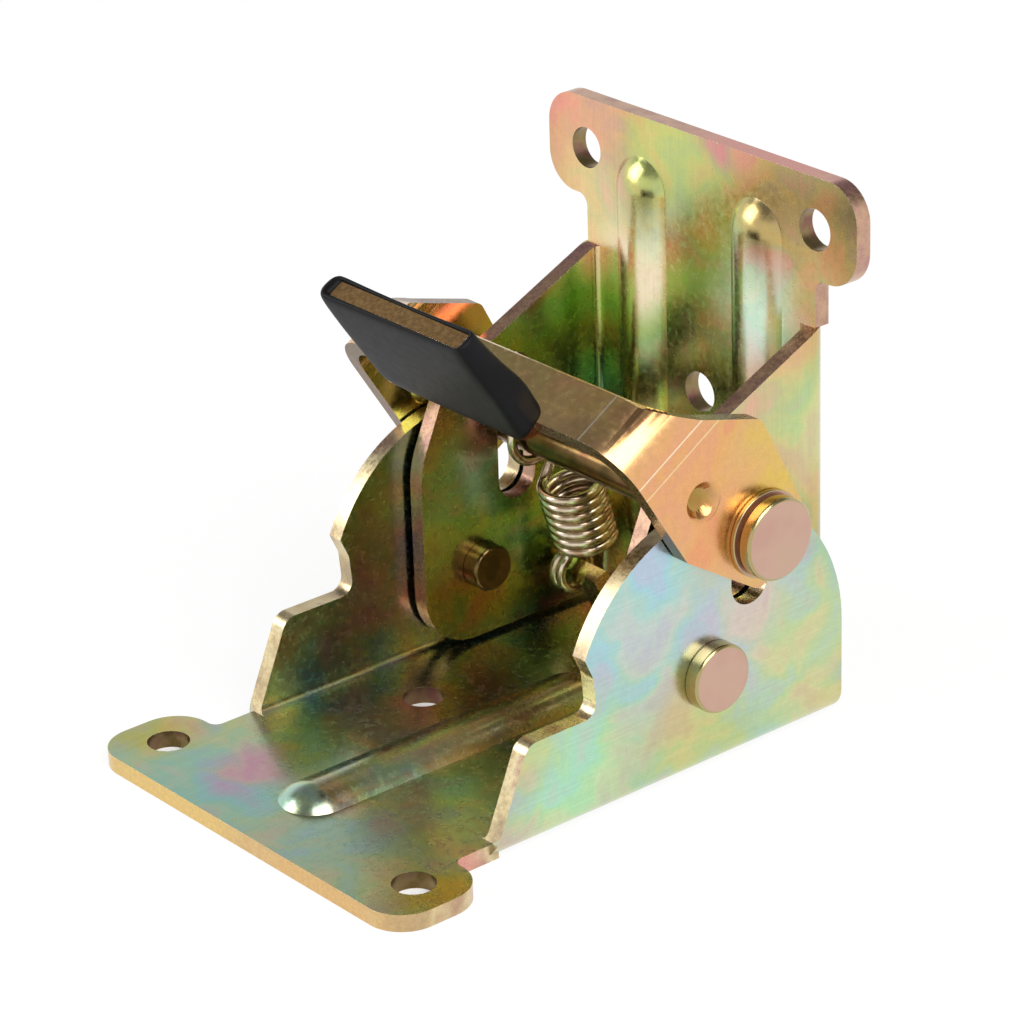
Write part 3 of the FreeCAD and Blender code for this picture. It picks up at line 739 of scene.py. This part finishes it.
def skin(name, rings, closed=False):
    """A mesh piece over rings of equally many points in metres, with its ends capped or joined."""
    size = len(rings[0])
    corners = [point for ring in rings for point in ring]
    faces = []
    for i in range(len(rings) if closed else len(rings) - 1):
        below = i * size
        above = (i + 1) % len(rings) * size
        for j in range(size):
            k = (j + 1) % size
            faces.append((below + j, below + k, above + k, above + j))
    if not closed:
        faces.append(tuple(reversed(range(size))))
        faces.append(tuple(range((len(rings) - 1) * size, len(rings) * size)))
    mesh = bpy.data.meshes.new(name)
    mesh.from_pydata(corners, [], faces)
    mesh.validate()
    for face in mesh.polygons:
        face.use_smooth = len(face.vertices) == 4
    piece = bpy.data.objects.new(name, mesh)
    bpy.context.scene.collection.objects.link(piece)
    return piece


def wire_spring():
    """Round wire swept along the path, with its section carried on without twist."""
    path, start, end = spring_path()
    points = smoothed([at(*point) for point in path], WIRE_SMOOTH)
    turns = [2 * math.pi * j / WIRE_SIDES for j in range(WIRE_SIDES)]
    side = ACROSS
    rings = []
    for i, point in enumerate(points):
        ahead = (points[min(i + 1, len(points) - 1)] - points[max(i - 1, 0)]).normalized()
        side = (side - ahead * side.dot(ahead)).normalized()
        other = ahead.cross(side)
        at_end = i in (0, len(points) - 1)
        radius = WIRE_R * MM * (WIRE_END if at_end else 1.0)
        rings.append([point + (side * math.cos(a) + other * math.sin(a)) * radius for a in turns])
    spring = skin("wire_spring", rings)
    spring.data.materials.append(drawn_wire())
    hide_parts("lever_spring")
    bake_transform(spring)


def sleeve_outline(walls, corner):
    """The sleeve's rounded outline round the tongue, as x and t. The walls are left, right, front, back."""
    left, right, front, back = walls
    outline = []
    quarters = ((1, 1), (-1, 1), (-1, -1), (1, -1))
    for q, (sx, st) in enumerate(quarters):
        reach_x = TONGUE_HALF + (right if sx > 0 else left) - corner
        edge_t = TONGUE_BACK + back if st > 0 else TONGUE_FRONT - front
        for j in range(CORNER_STEPS):
            turn = math.pi / 2 * (q + j / (CORNER_STEPS - 1))
            outline.append((sx * reach_x + corner * math.cos(turn),
                            edge_t - st * corner + corner * math.sin(turn)))
        nx, nt = quarters[(q + 1) % 4]
        if nt == st:
            stop = nx * (TONGUE_HALF + (right if nx > 0 else left) - corner)
            outline += [(sx * reach_x + (stop - sx * reach_x) * k / SIDE_STEPS, edge_t)
                        for k in range(1, SIDE_STEPS)]
    return outline


def sleeve_ring(walls, height, corner, sag, low):
    """One outline of the sleeve at its height up the tongue, as x, t and n. By the share low it drops at the
    front and rises at its left corner, and the front wall thins to the right."""
    points = []
    middle = (TONGUE_FRONT + TONGUE_BACK) / 2
    for x, t in sleeve_outline(walls, corner):
        share = max(0.0, min(1.0, (x + TONGUE_HALF) / (2 * TONGUE_HALF)))
        ahead = max(0.0, min(1.0, (middle + FRONT_BLEND - t) / (2 * FRONT_BLEND)))
        leftward = max(0.0, (-CORNER_FROM - x) / CORNER_REACH)
        n = height + low * (CORNER_RISE * leftward ** 2 - FRONT_DROP * ahead)
        if t > middle:
            n += sag * math.cos(math.pi * x / (2 * TONGUE_HALF + SAG_MARGIN))
        if t < TONGUE_FRONT:
            t += min(FRONT_TAPER * share, max(0.0, TONGUE_FRONT - t - LEAST_WALL))
        points.append((x, t, n))
    return points


def bulged(x, t, n):
    """A point of the sleeve moved out where its right side is fuller, with a small nub at the lower end."""
    if x <= TONGUE_HALF - BULGE_FROM or n >= BULGE_TOP:
        return x, t, n
    full = math.exp(-((n - BULGE_N) / BULGE_SPREAD) ** 2)
    nub = math.exp(-((n - NUB_N) / NUB_SPREAD) ** 2)
    near = min(1.0, (x - TONGUE_HALF + BULGE_FROM) / BULGE_BLEND)
    if t > TONGUE_BACK:
        t += near * (BULGE_BACK * full + NUB_BACK * nub)
    return x + near * (BULGE_SIDE * full + NUB_SIDE * nub), t, n


def dipped_sleeve():
    """The soft sleeve: thin and rounded at its open end, fuller on the right, drawn in at its lower edge."""
    rings = []
    for outline in SLEEVE_OUTLINES:
        rings.append([on_lever(*bulged(*point)) for point in sleeve_ring(*outline)])
    sleeve = skin("dipped_sleeve", rings, closed=True)
    sleeve.data.materials.append(dipped_vinyl())
    smooth = sleeve.modifiers.new("smooth", "SUBSURF")
    smooth.levels = 2
    smooth.render_levels = 2
    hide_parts("lever_grip")
    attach(sleeve, "lever")


def studio_floor():
    """A pale card that shows plain white and keeps a faint shadow of the hinge."""
    material, tree, place = start_material("pale studio card")
    paper = cloud(tree, place, CARD_GRAIN, seed=41.0, detail=3.0)
    colour = add(tree, "ShaderNodeValToRGB", {"Fac": paper}, stops=CARD).outputs["Color"]
    paint = add(tree, "ShaderNodeBsdfDiffuse", {"Color": colour, "Roughness": 0.6})
    glow = add(tree, "ShaderNodeEmission", {"Color": (1, 1, 1, 1), "Strength": 1.0})
    rays = add(tree, "ShaderNodeLightPath")
    seen = rays.outputs["Is Camera Ray"]
    for kind in ("Is Glossy Ray", "Is Transmission Ray"):
        seen = add(tree, "ShaderNodeMath", {0: seen, 1: rays.outputs[kind]}, operation="MAXIMUM").outputs[0]
    # Under the screw holes the card lies in the bracket's own dark, so it isn't lit up there.
    for u, v in tab_and_floor_holes():
        away = add(tree, "ShaderNodeVectorMath", {0: place, 1: (u * MM, v * MM, 0.0)},
                   operation="DISTANCE").outputs["Value"]
        clear = add(tree, "ShaderNodeMath", {0: away, 1: (SCREW_R + HOLE_SHADE) * MM},
                    operation="GREATER_THAN").outputs[0]
        seen = add(tree, "ShaderNodeMath", {0: seen, 1: clear}, operation="MULTIPLY").outputs[0]
    share = add(tree, "ShaderNodeMath", {0: seen, 1: CARD_GLOW}, operation="MULTIPLY").outputs[0]
    mixed = add(tree, "ShaderNodeMixShader", {0: share, 1: paint.outputs[0], 2: glow.outputs[0]})
    add(tree, "ShaderNodeOutputMaterial", {"Surface": mixed.outputs[0]})
    bpy.ops.mesh.primitive_plane_add(size=FLOOR_SIDE, location=(0, 0, 0))
    floor = bpy.context.object
    floor.name = "studio_floor"
    floor.data.materials.append(material)


def studio_world():
    """A white room with a darker ceiling, which the bright metal shows, and plain white for the camera."""
    world = bpy.data.worlds.new("studio")
    bpy.context.scene.world = world
    world.use_nodes = True
    tree = world.node_tree
    tree.nodes.clear()
    way = add(tree, "ShaderNodeTexCoord").outputs["Generated"]
    up = add(tree, "ShaderNodeSeparateXYZ", {0: way}).outputs[2]
    room = add(tree, "ShaderNodeValToRGB", {"Fac": up}, stops=ROOM).outputs["Color"]
    rays = add(tree, "ShaderNodeLightPath")
    lit = add(tree, "ShaderNodeBackground", {"Color": room, "Strength": 1.0})
    seen = add(tree, "ShaderNodeBackground", {"Color": (1, 1, 1, 1), "Strength": 1.0})
    mixed = add(tree, "ShaderNodeMixShader", {
        0: rays.outputs["Is Camera Ray"], 1: lit.outputs[0], 2: seen.outputs[0]})
    add(tree, "ShaderNodeOutputWorld", {"Surface": mixed.outputs[0]})


def softbox(name, place, side, power):
    """A square area lamp that faces the hinge."""
    lamp = bpy.data.lights.new(name, "AREA")
    lamp.shape = "RECTANGLE"
    lamp.size = side
    lamp.size_y = side
    lamp.energy = power
    holder = bpy.data.objects.new(name, lamp)
    bpy.context.scene.collection.objects.link(holder)
    holder.location = place
    holder.rotation_mode = "QUATERNION"
    holder.rotation_quaternion = (LIT_POINT - place).to_track_quat("-Z", "Y")


def set_camera():
    """The photograph's viewpoint, in the row frame: a long lens from the front right, looking down."""
    ahead = Vector((math.sin(CAMERA_YAW) * math.cos(CAMERA_PITCH),
                    math.cos(CAMERA_YAW) * math.cos(CAMERA_PITCH), math.sin(CAMERA_PITCH)))
    right = ahead.cross(Vector((0, 0, 1))).normalized()
    down = ahead.cross(right)
    c = math.cos(CAMERA_ROLL)
    s = math.sin(CAMERA_ROLL)
    image_x = c * right + s * down
    image_y = -s * right + c * down
    turn = Matrix((image_x, -image_y, -ahead)).transposed().to_4x4()
    lens = bpy.data.cameras.new("camera")
    lens.sensor_width = SENSOR_WIDTH
    lens.lens = SENSOR_WIDTH * FOCAL_PIXELS / IMAGE_PIXELS
    lens.clip_start = NEAREST
    lens.clip_end = FARTHEST
    holder = bpy.data.objects.new("camera", lens)
    bpy.context.scene.collection.objects.link(holder)
    holder.matrix_world = Matrix.Translation(at(CAMERA_X, CAMERA_Y, CAMERA_Z)) @ turn
    bpy.context.scene.camera = holder


rubbed_corner_highlight = metal_with_painted_light("rubbed zinc with painted highlight", CORNER_HIGHLIGHT_FILM, CORNER_PATCH, *CORNER_ROUGH)
# The hole walls are painted darker, as shade
shaded_hole_wall = metal_with_painted_light("punched hole wall in painted shade", BORE_SHADE_FILM, BORE_PATCH, *BORE_ROUGH)
plated_base(rubbed_corner_highlight, shaded_hole_wall)
plated_leg(rubbed_corner_highlight, shaded_hole_wall)
plated_lever(rubbed_corner_highlight)
bright_pins()
dipped_sleeve()
wire_spring()

studio_floor()
studio_world()
softbox("key", KEY_PLACE, KEY_SIDE, KEY_POWER)
softbox("top right", TOP_RIGHT_PLACE, TOP_RIGHT_SIDE, TOP_RIGHT_POWER)
set_camera()
bpy.context.scene.view_settings.view_transform = "Standard"
